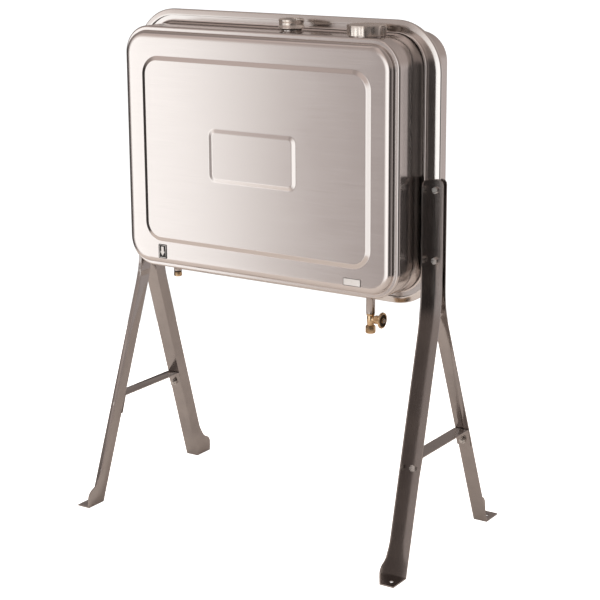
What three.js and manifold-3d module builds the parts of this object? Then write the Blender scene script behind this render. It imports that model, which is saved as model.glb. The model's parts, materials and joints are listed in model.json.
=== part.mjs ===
// Slim stainless liquid tank on an A-frame stand of bent angle iron, in millimetres, +Z up.
// The tank's front looks along -Y. The origin is on the floor under the middle of the stand.
import * as THREE from "three";
import { mergeVertices } from "three/addons/utils/BufferGeometryUtils.js";
import Module from "manifold-3d";

const wasm = await Module();
wasm.setup();

// Driving dimensions
const gap = 0.3; // between pieces that touch
const overallHeight = 1130;

const rimWidth = 782;
const rimHeight = 598;
const rimRadius = 105;
const rimDepth = 12; // of the folded edge band, front to back
const rimBand = 14; // width of the band seen from the front
const rimSheet = 2;
const rimLip = 1.6; // wall of the folded band

const shellWidth = 698; // over the side walls
const shellHeight = 536;
const shellRadius = 62;
const shellDepth = 115; // one half shell, weld flange to flat face
const shellWall = 2;
const flangeWidth = 8;

const beadSideMargin = 62; // from a side wall to the middle of the large bead
const beadEndMargin = 66.5; // from the top or bottom wall to it
const beadRadius = 38;
const smallBeadWidth = 215;
const smallBeadHeight = 108;
const smallBeadRadius = 13;
const beadHalf = 5; // half the width of a bead's sloping wall
const beadRise = 3; // of the large panel above the flat face
const smallBeadRise = 1.6; // of the small panel above the large one

const legAngle = 33; // width of both legs of the angle
const legSheet = 3;
const legTop = 276; // top of the angle, above the foot of the rim
const legReach = 176; // how far a foot stands forward of the rim
const legSplay = 20; // how far a foot stands out to the side
const legOverhang = 10; // of the angle past the rim's edge
const footLength = 53;
const footLobe = 46; // height of the rounded lobe over the foot
const anchorRadius = 5;

const boltRadius = 4;
const boltHeadFlats = 13;
const boltHeadHeight = 5.5;
const nutHeight = 6.5;
const rimBoltRises = [105, 254]; // above the foot of the rim
const braceHeight = 240;
const braceTab = 42; // length of the brace's bent-down ends
const braceBoltDrop = 26; // below the top of the brace

const fittingY = -60; // middle of the front shell's top and bottom walls
const fillerX = 248;
const fillerBore = 26;
const fillerWall = 4;
const neckHeight = 18; // above the top wall
const fillerCapRadius = 42; // to the corners, before they are rounded
const strainerDepth = 62;

const gaugeX = 65;
const gaugeRadius = 27;
const gaugeHeight = 20;
const socketBore = 15;
const stemRadius = 6;
const floatClearance = 30; // under the float at an empty tank
const armRadius = 2;
const armRest = 70; // degrees below level at an empty tank
const floatRadius = 25;
const floatLength = 58;

const outletX = 260;
const stubRadius = 9.6;
const stubWall = 2.4;
const valveDrop = 57; // from the tank's bottom wall to the axis of the valve spindle
const valveBodyRadius = 7.8;
const valveTailRadius = 6.2; // of the threaded tail inside the union nut
const valveBossRadius = 6.4;
const valveBossReach = 19; // of the side boss from the body's axis
const pistonRadius = 4.4;
const pistonLength = 12;
const spindleRadius = 2.5;
const wheelRadius = 17.5;
const unionFlats = 19;
const unionHeight = 16.5;

const drainX = -249;
const drainRadius = 9;
const plugRadius = 6;
const plugFlats = 16;

const labelWidth = 22;
const labelHeight = 32;
const plateWidth = 42;
const plateHeight = 16;
const labelSheet = 0.6;
const labelDrop = 12; // from the middle of the large bead down to the arrow label

// Values worked out from them
const tankCentre = overallHeight - rimHeight / 2;
const bend = overallHeight - rimHeight; // the legs bend at the foot of the rim
const shellTop = tankCentre + shellHeight / 2;
const shellBottom = tankCentre - shellHeight / 2;
const legCrown = bend + legTop;
const rimBoltHeights = rimBoltRises.map((rise) => bend + rise);
const valveHeight = shellBottom - valveDrop;
const beadWidth = shellWidth - 2 * beadSideMargin;
const beadHeight = shellHeight - 2 * beadEndMargin;
const flangeFace = rimSheet / 2 + gap; // rim sheet to weld flange
const shellFace = flangeFace + shellDepth; // distance of the flat face from the rim's plane
const lean = legReach / bend; // forward run of a leg for each millimetre down
const leanAngle = Math.atan(lean);
const legInner = rimWidth / 2 + legOverhang - legAngle;
const legBack = rimDepth / 2 + gap; // rear face of a front leg's flange
const boltX = legInner + legAngle / 2;

// Materials
const finish = (color, metalness, roughness, extra = {}) => () =>
  new THREE.MeshStandardMaterial({ color, metalness, roughness, ...extra });
const brushed = finish("#c9bfb8", 0.9, 0.35);
const rimSteel = finish("#cfc9c6", 0.9, 0.3);
const legSteel = finish("#8f8580", 0.8, 0.45);
const zinc = finish("#b9b8b4", 0.9, 0.35);
const chrome = finish("#dddddd", 1, 0.1);
const brass = finish("#b98a4a", 0.9, 0.35);
const rubber = finish("#1c1c1c", 0, 0.8);
const blackPlastic = finish("#161616", 0, 0.4);
const whitePlastic = finish("#ececec", 0, 0.5);
const clear = finish("#e8f0f2", 0, 0.05, { transparent: true, opacity: 0.35 });

// Solids: three.js geometry in, manifold-3d solid out, and back again
function solid(geometry) {
  const bare = geometry.clone();
  bare.deleteAttribute("normal");
  bare.deleteAttribute("uv");
  const merged = mergeVertices(bare, 1e-4);
  return new wasm.Manifold(
    new wasm.Mesh({
      numProp: 3,
      vertProperties: merged.attributes.position.array,
      triVerts: new Uint32Array(merged.index.array),
    }),
  );
}

function geometryOf(made) {
  const { vertProperties, triVerts } = made.getMesh();
  const geometry = new THREE.BufferGeometry();
  geometry.setAttribute("position", new THREE.BufferAttribute(vertProperties, 3));
  geometry.setIndex(new THREE.BufferAttribute(triVerts, 1));
  const flat = geometry.toNonIndexed();
  flat.computeVertexNormals();
  return flat;
}

// A round bar from a point along a direction
function bar(radius, length, from, direction, sides = 20) {
  const along = new THREE.Vector3(...direction).normalize();
  const middle = new THREE.Vector3(...from).addScaledVector(along, length / 2);
  const turn = new THREE.Quaternion().setFromUnitVectors(new THREE.Vector3(0, 1, 0), along);
  const geometry = new THREE.CylinderGeometry(radius, radius, length, sides);
  return solid(geometry.applyQuaternion(turn).translate(middle.x, middle.y, middle.z));
}

// A hexagonal bar, sized over its flats
const hexBar = (flats, length, from, direction) =>
  bar(flats / Math.sqrt(3), length, from, direction, 6);

function block(sizeX, sizeY, sizeZ, x, y, z) {
  return solid(new THREE.BoxGeometry(sizeX, sizeY, sizeZ).translate(x, y, z));
}

// A closed profile of [radius, height] points turned about a vertical axis
function turned(profile, x, y, sides = 32) {
  const points = [...profile, profile[0]].map(([r, z]) => new THREE.Vector2(r, z));
  return solid(new THREE.LatheGeometry(points, sides).rotateX(Math.PI / 2).translate(x, y, 0));
}

// An outline of [x, y, radius] corners; a corner with a radius is rounded
function outline(corners) {
  const shape = new THREE.Shape();
  const point = ([x, y]) => new THREE.Vector2(x, y);
  corners.forEach((corner, i) => {
    const here = point(corner);
    const before = point(corners.at(i - 1));
    const after = point(corners[(i + 1) % corners.length]);
    const radius = corner[2] ?? 0;
    const entry = here.clone().add(before.sub(here).setLength(radius));
    const exit = here.clone().add(after.sub(here).setLength(radius));
    if (i === 0) shape.moveTo(entry.x, entry.y);
    else shape.lineTo(entry.x, entry.y);
    if (radius) shape.quadraticCurveTo(here.x, here.y, exit.x, exit.y);
  });
  return shape;
}

// A side outline of [forward, up] corners, made into a slab from x0 to x1
function slab(corners, x0, x1) {
  const geometry = new THREE.ExtrudeGeometry(outline(corners), {
    depth: x1 - x0,
    bevelEnabled: false,
    curveSegments: 5,
  });
  const axes = new THREE.Matrix4().makeBasis(
    new THREE.Vector3(0, -1, 0),
    new THREE.Vector3(0, 0, 1),
    new THREE.Vector3(-1, 0, 0),
  );
  return solid(geometry.applyMatrix4(axes).translate(x1, 0, 0));
}

// Ring lofts: rounded rectangles in planes of constant Y, joined one to the next
const cornerSteps = 5;

function roundedRing({ halfWidth, halfHeight, radius, depth }) {
  const ring = [];
  const centres = [
    [1, 1],
    [-1, 1],
    [-1, -1],
    [1, -1],
  ];
  centres.forEach(([sideX, sideZ], quarter) => {
    for (let step = 0; step <= cornerSteps; step++) {
      const angle = (quarter + step / cornerSteps) * (Math.PI / 2);
      const x = sideX * (halfWidth - radius) + radius * Math.cos(angle);
      const z = sideZ * (halfHeight - radius) + radius * Math.sin(angle);
      ring.push([x, -depth, tankCentre + z]);
    }
  });
  return ring;
}

function loft(sections, closed) {
  const rings = sections.map(roundedRing);
  const count = rings[0].length;
  const positions = rings.flat(2);
  const index = [];
  const spans = closed ? rings.length : rings.length - 1;
  for (let i = 0; i < spans; i++) {
    const next = (i + 1) % rings.length;
    for (let j = 0; j < count; j++) {
      const k = (j + 1) % count;
      const [a, b] = [i * count + j, i * count + k];
      const [c, d] = [next * count + j, next * count + k];
      index.push(a, b, d, a, d, c);
    }
  }
  if (!closed) {
    const last = (rings.length - 1) * count;
    for (let j = 1; j < count - 1; j++) {
      index.push(0, j + 1, j);
      index.push(last, last + j, last + j + 1);
    }
  }
  const geometry = new THREE.BufferGeometry();
  geometry.setAttribute("position", new THREE.Float32BufferAttribute(positions, 3));
  geometry.setIndex(index);
  return solid(geometry);
}

// Tank
function shellSections() {
  const edge = (inset, depth) => ({
    halfWidth: shellWidth / 2 - inset,
    halfHeight: shellHeight / 2 - inset,
    radius: shellRadius - inset,
    depth,
  });
  // Each bead is a sloping wall, up to a panel pressed out of the face
  const bead = (width, height, radius, face, rise) =>
    [beadHalf, -beadHalf].map((offset) => ({
      halfWidth: width / 2 + offset,
      halfHeight: height / 2 + offset,
      radius: radius + offset,
      depth: face + (offset < 0 ? rise : 0),
    }));
  // The stepped shoulder, from the weld flange to the flat face
  const shoulder = [
    [0, 30],
    [0, 9],
    [3, 4],
    [7, 1.6],
    [9, 0],
    [11, -5.5],
    [14, -10.5],
    [19, -13],
  ].map(([inset, back]) => [inset, shellFace - 13 - back]);
  const skin = (wall) => {
    const face = shellFace - wall;
    const panel = face + beadRise;
    return [
      ...shoulder.map(([inset, depth]) => edge(inset + wall, depth - wall)),
      ...bead(beadWidth, beadHeight, beadRadius, face, beadRise),
      ...bead(smallBeadWidth, smallBeadHeight, smallBeadRadius, panel, smallBeadRise),
    ];
  };
  const outer = [
    edge(-flangeWidth, flangeFace),
    edge(-flangeWidth, flangeFace + shellWall),
    edge(0, flangeFace + shellWall),
    ...skin(0),
  ];
  const inner = [edge(shellWall, flangeFace), ...skin(shellWall)];
  return [...inner.reverse(), ...outer];
}

const shell = loft(shellSections(), false);
const openings = [
  bar(fillerBore + fillerWall + gap, 30, [fillerX, fittingY, shellTop - 15], [0, 0, 1], 32),
  bar(socketBore + 7 + gap, 30, [gaugeX, fittingY, shellTop - 15], [0, 0, 1], 32),
  bar(stubRadius + gap, 30, [outletX, fittingY, shellBottom - 15], [0, 0, 1]),
  bar(drainRadius + gap, 30, [drainX, fittingY, shellBottom - 15], [0, 0, 1]),
];
const frontShell = openings.reduce((made, opening) => made.subtract(opening), shell);
const rearShell = shell.mirror([0, 1, 0]);

function rimSolid() {
  const at = (inset, depth) => ({
    halfWidth: rimWidth / 2 - inset,
    halfHeight: rimHeight / 2 - inset,
    radius: rimRadius - inset,
    depth,
  });
  const innerEdge = (rimWidth - shellWidth) / 2 + shellWall;
  const front = rimDepth / 2;
  const half = [
    at(innerEdge, rimSheet / 2),
    at(rimLip, rimSheet / 2),
    at(rimLip, front - rimLip),
    at(rimBand, front - rimLip),
    at(rimBand, front),
    at(0, front),
  ];
  const back = half.map((section) => ({ ...section, depth: -section.depth }));
  let made = loft([...back, ...half.reverse()], true);
  for (const height of rimBoltHeights)
    for (const side of [1, -1]) {
      const hole = bar(boltRadius + gap, 2 * rimDepth, [side * boltX, -rimDepth, height], [0, 1, 0], 16);
      made = made.subtract(hole);
    }
  return made;
}

// Legs: one is made, for the front right, and the others are its mirror copies
const legLine = (z) => legBack + Math.max(0, bend - z) * lean; // rear face of the flange
const splayAt = (z) => legSplay * (Math.max(0, bend - z) / bend);
const legFlangeThickness = legSheet / Math.cos(leanAngle); // measured level, on the sloping part

function legSolid() {
  const footBack = legLine(0);
  const lobeBack = legLine(footLobe);
  const web = slab(
    [
      [legBack, bend, 0],
      [footBack, 0, 0],
      [footBack + footLength, 0, 5],
      [footBack + footLength, footLobe * 0.75, 16],
      [lobeBack + legAngle + 9, footLobe, 8],
      [legLine(footLobe * 1.6) + legAngle, footLobe * 1.6, 10],
      [legBack + legAngle, bend, 0],
      [legBack + legAngle, legCrown, 14],
      [legBack, legCrown, 0],
    ],
    legInner,
    legInner + legSheet,
  );
  const flange = slab(
    [
      [legBack, legCrown],
      [legBack, bend],
      [footBack, 0],
      [footBack + legFlangeThickness, 0],
      [legBack + legSheet, bend],
      [legBack + legSheet, legCrown],
    ],
    legInner,
    legInner + legAngle,
  );
  const foot = slab(
    [
      [footBack, 0],
      [footBack + footLength, 0],
      [footBack + footLength, legSheet],
      [footBack, legSheet],
    ],
    legInner,
    legInner + legAngle,
  );
  const anchorY = -(footBack + footLength * 0.6);
  let made = web.add(flange).add(foot);
  made = made.subtract(bar(anchorRadius, 20, [boltX, anchorY, -10], [0, 0, 1], 16));
  for (const height of rimBoltHeights)
    made = made.subtract(bar(boltRadius + gap, 30, [boltX, 0, height], [0, -1, 0], 16));
  // The lower half leans outwards; on the cut, both halves get the very same points
  const micron = 1000;
  const bent = (half) =>
    half.warp((vertex) => {
      if (Math.abs(vertex[2] - bend) > gap) vertex[0] += splayAt(vertex[2]);
      else [0, 1, 2].forEach((i) => (vertex[i] = Math.round(vertex[i] * micron) / micron));
    });
  const [upper, lower] = made.splitByPlane([0, 0, 1], bend);
  return bent(upper).add(bent(lower)).subtract(braceHole());
}

// The brace bolts stand square to the sloping flange
const bracePoint = braceHeight - braceBoltDrop;
const braceAxis = [0, -Math.cos(leanAngle), Math.sin(leanAngle)];
const braceX = boltX + splayAt(bracePoint);

// A point on the brace bolt's axis, a distance in front of the flange's rear face
const onBraceAxis = (distance) => [
  braceX,
  -legLine(bracePoint) + braceAxis[1] * distance,
  bracePoint + braceAxis[2] * distance,
];
const braceHole = () => bar(boltRadius + gap, 30, onBraceAxis(-15), braceAxis, 16);

function braceSolid() {
  const tabFace = (z) => legLine(z) - gap / Math.cos(leanAngle);
  const tabEnd = braceHeight - braceTab;
  const sheet = legFlangeThickness;
  const side = [
    [tabFace(braceHeight), braceHeight, 4],
    [tabFace(tabEnd), tabEnd, 0],
    [tabFace(tabEnd) - sheet, tabEnd, 0],
    [tabFace(braceHeight - legSheet) - sheet, braceHeight - legSheet, 0],
  ];
  const mirrored = side.map(([forward, up, radius]) => [-forward, up, radius]).reverse();
  const x0 = legInner + splayAt(braceHeight);
  const made = slab([...mirrored, ...side], x0, x0 + legAngle);
  return made.subtract(braceHole()).subtract(braceHole().mirror([0, 1, 0]));
}

// Fasteners: a bolt runs from its head along a direction, and its nut sits at the far end
function boltSolid(seat, direction, grip) {
  const away = direction.map((part) => -part);
  const root = along(seat, away, boltHeadHeight / 2);
  const shank = bar(boltRadius, grip + nutHeight + 3 + boltHeadHeight / 2, root, direction, 16);
  return hexBar(boltHeadFlats, boltHeadHeight, seat, away).add(shank);
}

function nutSolid(seat, direction) {
  const hole = bar(boltRadius + gap, 4 * nutHeight, seat, direction, 16);
  const back = direction.map((part) => -part * 2 * nutHeight);
  return hexBar(boltHeadFlats, nutHeight, seat, direction).subtract(hole.translate(back));
}

const along = (point, direction, distance) =>
  point.map((value, i) => value + direction[i] * distance);

// Filler
const neckTop = shellTop + neckHeight;
const neckOuter = fillerBore + fillerWall;
const padTop = shellTop + gap + 2.4;
const gasketTop = neckTop + gap + 2.7;

function fillerNeck() {
  return turned(
    [
      [fillerBore, shellTop - 9],
      [neckOuter, shellTop - 9],
      [neckOuter, shellTop + gap],
      [neckOuter + 7, shellTop + gap],
      [neckOuter + 7, padTop],
      [neckOuter, padTop],
      [neckOuter, neckTop],
      [fillerBore, neckTop],
    ],
    fillerX,
    fittingY,
    40,
  );
}

function strainerSolid() {
  const outer = fillerBore - 2;
  const foot = neckTop - strainerDepth;
  const basket = turned(
    [
      [0, foot],
      [outer, foot],
      [outer, neckTop - 2],
      [fillerBore - gap, neckTop - 2],
      [fillerBore - gap, neckTop - gap],
      [outer - 1.5, neckTop - gap],
      [outer - 1.5, foot + 1.5],
      [0, foot + 1.5],
    ],
    fillerX,
    fittingY,
    24,
  );
  let made = basket;
  const slots = 6;
  for (let i = 0; i < slots; i++) {
    const angle = (i / slots) * 2 * Math.PI;
    const cutter = block(12, 5, strainerDepth / 2, outer, 0, foot + strainerDepth * 0.4);
    made = made.subtract(
      cutter.rotate([0, 0, (angle * 180) / Math.PI]).translate(fillerX, fittingY, 0),
    );
  }
  return made;
}

function fillerCap() {
  const skirt = padTop + gap;
  const top = gasketTop + gap + 3.2;
  const lobes = 8;
  const corner = 6;
  const ring = [];
  for (let i = 0; i < lobes; i++) {
    const angle = ((i + 0.5) / lobes) * 2 * Math.PI;
    ring.push([fillerCapRadius * Math.cos(angle), fillerCapRadius * Math.sin(angle), corner]);
  }
  const prism = new THREE.ExtrudeGeometry(outline(ring), {
    depth: top - 2 - skirt,
    bevelEnabled: true,
    bevelThickness: 2,
    bevelSize: 2,
    bevelOffset: -2,
    bevelSegments: 2,
    curveSegments: 3,
  });
  // The lower bevel is cut away, so the skirt ends flat
  const raised = solid(prism.translate(fillerX, fittingY, skirt));
  const trimmed = raised.trimByPlane([0, 0, 1], skirt);
  const inside = turned(
    [
      [0, skirt - 1],
      [neckOuter + 1, skirt - 1],
      [neckOuter + 1, gasketTop + gap],
      [0, gasketTop + gap],
    ],
    fillerX,
    fittingY,
    40,
  );
  return trimmed.subtract(inside);
}

// Level gauge
const gaugeThread = socketBore - gap;
const socketTop = shellTop + 6;
const gaugeSeat = socketTop + 2 * gap + 1.6; // underside of the gauge body
const gaugeTop = gaugeSeat + gaugeHeight;
const dialFace = gaugeSeat + 7;
const pivot = [gaugeX, fittingY, tankCentre];
const armAngle = (armRest * Math.PI) / 180;
const armDirection = [-Math.cos(armAngle), 0, -Math.sin(armAngle)];
const floatRest = shellBottom + shellWall + floatClearance + floatRadius;
const armLength = (tankCentre - floatRest) / Math.sin(armAngle);
const eyeRadius = 5;
const eyeHalf = 1.6;
const pinRadius = 1.5;
const forkReach = 22; // from the pin up to the end of the stem

const gaugeSocket = () =>
  turned(
    [
      [socketBore, shellTop - 7],
      [socketBore + 7, shellTop - 7],
      [socketBore + 7, shellTop + gap],
      [socketBore + 11, shellTop + gap],
      [socketBore + 11, shellTop + gap + 2],
      [socketBore + 7, shellTop + gap + 2],
      [socketBore + 7, socketTop],
      [socketBore, socketTop],
    ],
    gaugeX,
    fittingY,
  );

function gaugeBody() {
  const wall = 3.5;
  const housing = turned(
    [
      [0, pivot[2] + forkReach],
      [stemRadius, pivot[2] + forkReach],
      [stemRadius, shellTop - 12],
      [gaugeThread, shellTop - 12],
      [gaugeThread, gaugeSeat],
      [gaugeRadius - 1, gaugeSeat],
      [gaugeRadius, gaugeSeat + 1.5],
      [gaugeRadius, gaugeTop - 2],
      [gaugeRadius - 2, gaugeTop],
      [gaugeRadius - wall, gaugeTop],
      [gaugeRadius - wall, dialFace - 1.5],
      [0, dialFace - 1.5],
    ],
    gaugeX,
    fittingY,
  );
  const tab = block(12, 7, 3, gaugeX - gaugeRadius - 2, fittingY, gaugeSeat + 3.5);
  const ear = (side) => {
    const y = fittingY + side * (eyeHalf + gap + 1.25);
    const web = block(2 * eyeRadius, 2.5, forkReach + 10, gaugeX, y, pivot[2] + forkReach / 2);
    return web.subtract(bar(pinRadius + gap, 10, [gaugeX, y - 5, pivot[2]], [0, 1, 0], 12));
  };
  return housing.add(tab).add(ear(1)).add(ear(-1));
}

function floatArm() {
  const eye = bar(eyeRadius, 2 * eyeHalf, [gaugeX, fittingY - eyeHalf, pivot[2]], [0, 1, 0], 16);
  const hole = bar(pinRadius + gap, 10, [gaugeX, fittingY - 5, pivot[2]], [0, 1, 0], 12);
  const rodStart = along(pivot, armDirection, eyeRadius - 1);
  const rod = bar(armRadius - gap, armLength - eyeRadius + 1, rodStart, armDirection, 12);
  return eye.add(rod).subtract(hole);
}

function floatSolid() {
  const centre = along(pivot, armDirection, armLength);
  const from = [centre[0], centre[1] - floatLength / 2, centre[2]];
  const drum = bar(floatRadius, floatLength, from, [0, 1, 0], 24);
  const socket = along(pivot, armDirection, armLength - floatRadius - 5);
  return drum.subtract(bar(armRadius, floatRadius + 5 + gap, socket, armDirection, 12));
}

function pointerSolid() {
  const blade = block(1.6, 17, 0.8, gaugeX, fittingY + 4.5, dialFace + 2.4);
  return blade.add(bar(2.6, 2.5, [gaugeX, fittingY, dialFace + gap], [0, 0, 1], 12));
}

// Outlet valve
const stubEnd = valveHeight + valveBossRadius + 6;
const spigotTop = stubEnd + 10; // the body is screwed up into the stub
const bodyFoot = valveHeight - 14;
const bore = 3.6;
const bossEnd = outletX + valveBossReach;
const pistonStart = outletX - pistonLength / 2;
const pistonEnd = outletX + pistonLength / 2;
const chamberRadius = pistonRadius + gap;
const bonnetEnd = bossEnd + gap + 4.5;
const wheelStart = bonnetEnd + 1.5;
const wheelHub = 6;
const spindleEnd = wheelStart + wheelHub + 4;

const acrossX = (radius, x0, x1, sides = 20) =>
  bar(radius, x1 - x0, [x0, fittingY, valveHeight], [1, 0, 0], sides);

function outletStub() {
  return turned(
    [
      [stubRadius - stubWall, stubEnd],
      [stubRadius, stubEnd],
      [stubRadius, shellBottom + shellWall + 4],
      [stubRadius - stubWall, shellBottom + shellWall + 4],
    ],
    outletX,
    fittingY,
    24,
  );
}

function valveBody() {
  const spigotRadius = stubRadius - stubWall - gap;
  const body = turned(
    [
      [0, bodyFoot - 12],
      [valveTailRadius, bodyFoot - 12],
      [valveTailRadius, bodyFoot],
      [valveBodyRadius - 1, bodyFoot],
      [valveBodyRadius, bodyFoot + 2],
      [valveBodyRadius, stubEnd - gap],
      [spigotRadius, stubEnd - gap],
      [spigotRadius, spigotTop],
      [0, spigotTop],
    ],
    outletX,
    fittingY,
    24,
  );
  const foot = [outletX, fittingY, bodyFoot - 20];
  return body
    .add(acrossX(valveBossRadius, outletX, bossEnd))
    .subtract(bar(bore, spigotTop - foot[2] + 5, foot, [0, 0, 1]))
    .subtract(acrossX(chamberRadius, pistonStart - gap, bossEnd + 10));
}

function bonnetSolid() {
  const start = bossEnd - 8;
  const flats = 2 * valveBossRadius + 3.5;
  return hexBar(flats, bonnetEnd - start, [start, fittingY, valveHeight], [1, 0, 0])
    .subtract(acrossX(valveBossRadius + gap, start - 5, bossEnd + gap))
    .subtract(acrossX(spindleRadius + gap, start, bonnetEnd + 5));
}

const spindleSolid = () => acrossX(spindleRadius, pistonEnd + gap, spindleEnd);

function handwheelSolid() {
  const rimTube = 2.6;
  const halfWeb = 1;
  const middle = wheelStart + wheelHub / 2;
  const ring = new THREE.TorusGeometry(wheelRadius - rimTube, rimTube, 8, 32).rotateY(Math.PI / 2);
  return solid(ring.translate(middle, fittingY, valveHeight))
    .add(acrossX(wheelRadius - rimTube, middle - halfWeb, middle + halfWeb, 32))
    .add(acrossX(5.5, wheelStart, wheelStart + wheelHub))
    .subtract(acrossX(spindleRadius + gap, wheelStart - 5, wheelStart + wheelHub + 5));
}

function wheelNut() {
  const start = wheelStart + wheelHub + gap;
  return hexBar(8, 3, [start, fittingY, valveHeight], [1, 0, 0]).subtract(
    acrossX(spindleRadius + gap, start - 2, start + 6),
  );
}

function unionNut() {
  const top = bodyFoot - gap;
  const hex = hexBar(unionFlats, unionHeight, [outletX, fittingY, top - unionHeight], [0, 0, 1]);
  const hole = [outletX, fittingY, top - unionHeight - 5];
  return hex.subtract(bar(valveTailRadius + gap, unionHeight + 10, hole, [0, 0, 1], 24));
}

// Drain
const drainFoot = shellBottom - 17;
const plugBore = plugRadius + gap;

const drainSocket = () =>
  turned(
    [
      [plugBore, drainFoot],
      [drainRadius, drainFoot],
      [drainRadius, shellBottom + shellWall + 3],
      [plugBore, shellBottom + shellWall + 3],
    ],
    drainX,
    fittingY,
    24,
  );

const drainGasket = () =>
  turned(
    [
      [plugBore, drainFoot - gap - 1.8],
      [drainRadius - gap, drainFoot - gap - 1.8],
      [drainRadius - gap, drainFoot - gap],
      [plugBore, drainFoot - gap],
    ],
    drainX,
    fittingY,
    24,
  );

function drainPlug() {
  const head = drainFoot - 2 * gap - 1.8;
  const hex = hexBar(plugFlats, 10, [drainX, fittingY, head], [0, 0, -1]);
  return hex.add(bar(plugRadius, 16, [drainX, fittingY, head - 1], [0, 0, 1], 24));
}

// Stickers on the flat face, below the large bead
const stickerHeight = tankCentre - beadHeight / 2 - labelDrop;
const stickerY = -(shellFace + gap + labelSheet / 2);
const arrowLabel = () =>
  block(labelWidth, labelSheet, labelHeight, drainX + 2, stickerY, stickerHeight - labelHeight / 2);
const namePlate = () =>
  block(plateWidth, labelSheet, plateHeight, outletX - 12, stickerY, stickerHeight - 22);

// The scene graph
const part = new THREE.Group();

function place(name, made, material) {
  const mesh = new THREE.Mesh(geometryOf(made), material());
  mesh.name = name;
  part.add(mesh);
}

place("front_shell", frontShell, brushed);
place("rear_shell", rearShell, brushed);
place("rim", rimSolid(), rimSteel);

place("filler_neck", fillerNeck(), brushed);
place(
  "filler_gasket",
  turned(
    [
      [fillerBore - 1, neckTop + gap],
      [neckOuter, neckTop + gap],
      [neckOuter, gasketTop],
      [fillerBore - 1, gasketTop],
    ],
    fillerX,
    fittingY,
  ),
  rubber,
);
place("filler_cap", fillerCap(), chrome);
place("strainer_basket", strainerSolid(), brushed);

place("gauge_socket", gaugeSocket(), brushed);
place(
  "gauge_gasket",
  turned(
    [
      [gaugeThread + gap, socketTop + gap],
      [socketBore + 7, socketTop + gap],
      [socketBore + 7, socketTop + gap + 1.6],
      [gaugeThread + gap, socketTop + gap + 1.6],
    ],
    gaugeX,
    fittingY,
  ),
  rubber,
);
place("gauge_body", gaugeBody(), chrome);
place(
  "gauge_dial",
  bar(gaugeRadius - 3.5 - gap, 1.2, [gaugeX, fittingY, dialFace - 1.2], [0, 0, 1], 32),
  blackPlastic,
);
place("gauge_pointer", pointerSolid(), whitePlastic);
place(
  "gauge_window",
  bar(gaugeRadius - 3.5 - gap, 2, [gaugeX, fittingY, gaugeTop - 3.5], [0, 0, 1], 32),
  clear,
);
place("gauge_arm_pin", bar(pinRadius, 10, [gaugeX, fittingY - 5, pivot[2]], [0, 1, 0], 12), zinc);
place("float_arm", floatArm(), zinc);
place("float", floatSolid(), whitePlastic);

place("outlet_stub", outletStub(), brushed);
place("valve_body", valveBody(), brass);
place("valve_bonnet", bonnetSolid(), brass);
place("valve_piston", acrossX(pistonRadius, pistonStart, pistonEnd), brass);
place("valve_spindle", spindleSolid(), brass);
place("handwheel", handwheelSolid(), brass);
place("handwheel_nut", wheelNut(), zinc);
place("union_nut", unionNut(), brass);

place("drain_socket", drainSocket(), brushed);
place("drain_gasket", drainGasket(), rubber);
place("drain_plug", drainPlug(), brass);

place("arrow_label", arrowLabel(), blackPlastic);
place("name_plate", namePlate(), whitePlastic);

const leg = legSolid();
const brace = braceSolid();
for (const side of [1, -1]) {
  const hand = side > 0 ? "right" : "left";
  const toSide = (made) => (side > 0 ? made : made.mirror([1, 0, 0]));
  place(`leg_front_${hand}`, toSide(leg), legSteel);
  place(`leg_rear_${hand}`, toSide(leg.mirror([0, 1, 0])), legSteel);
  place(`brace_${hand}`, toSide(brace), legSteel);

  // Rim bolts pass through the front leg, the rim and the rear leg
  const grip = 2 * (legBack + legSheet + gap);
  rimBoltHeights.forEach((height, i) => {
    const level = i ? "upper" : "lower";
    const seat = [boltX, -grip / 2, height];
    place(`rim_bolt_${level}_${hand}`, toSide(boltSolid(seat, [0, 1, 0], grip)), zinc);
    const nutSeat = [boltX, grip / 2, height];
    place(`rim_nut_${level}_${hand}`, toSide(nutSolid(nutSeat, [0, 1, 0])), zinc);
  });

  // Brace bolts pass through the leg's flange and the brace's tab
  const inward = braceAxis.map((value) => -value);
  const braceGrip = 2 * legSheet + 3 * gap;
  const head = onBraceAxis(legSheet + gap);
  const nutEnd = along(head, inward, braceGrip);
  for (const end of ["front", "rear"]) {
    const toEnd = (made) => toSide(end === "front" ? made : made.mirror([0, 1, 0]));
    place(`brace_bolt_${end}_${hand}`, toEnd(boltSolid(head, inward, braceGrip)), zinc);
    place(`brace_nut_${end}_${hand}`, toEnd(nutSolid(nutEnd, inward)), zinc);
  }
}

export default part;
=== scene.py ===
import json
import math
import bmesh
import bpy
from mathutils import Euler, Matrix, Vector


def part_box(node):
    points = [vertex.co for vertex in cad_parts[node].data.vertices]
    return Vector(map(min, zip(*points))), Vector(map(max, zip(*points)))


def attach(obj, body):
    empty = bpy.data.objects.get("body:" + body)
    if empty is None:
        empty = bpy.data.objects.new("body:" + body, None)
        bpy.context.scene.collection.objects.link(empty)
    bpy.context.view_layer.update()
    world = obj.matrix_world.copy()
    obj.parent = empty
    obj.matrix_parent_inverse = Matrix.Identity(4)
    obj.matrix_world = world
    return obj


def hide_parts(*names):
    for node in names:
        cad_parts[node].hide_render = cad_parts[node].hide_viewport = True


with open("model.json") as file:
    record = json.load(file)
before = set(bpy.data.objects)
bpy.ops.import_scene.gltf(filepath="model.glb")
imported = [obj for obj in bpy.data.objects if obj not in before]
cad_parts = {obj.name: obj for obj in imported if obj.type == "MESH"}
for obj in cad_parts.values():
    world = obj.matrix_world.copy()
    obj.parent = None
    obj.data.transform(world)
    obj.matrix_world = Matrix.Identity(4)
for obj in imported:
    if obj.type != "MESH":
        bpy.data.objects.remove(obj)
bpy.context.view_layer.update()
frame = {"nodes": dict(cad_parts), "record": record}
mm = 0.001
gap = 0.3  # between pieces that touch, in mm
rimLow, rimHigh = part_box("rim")
shellLow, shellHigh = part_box("front_shell")
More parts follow.
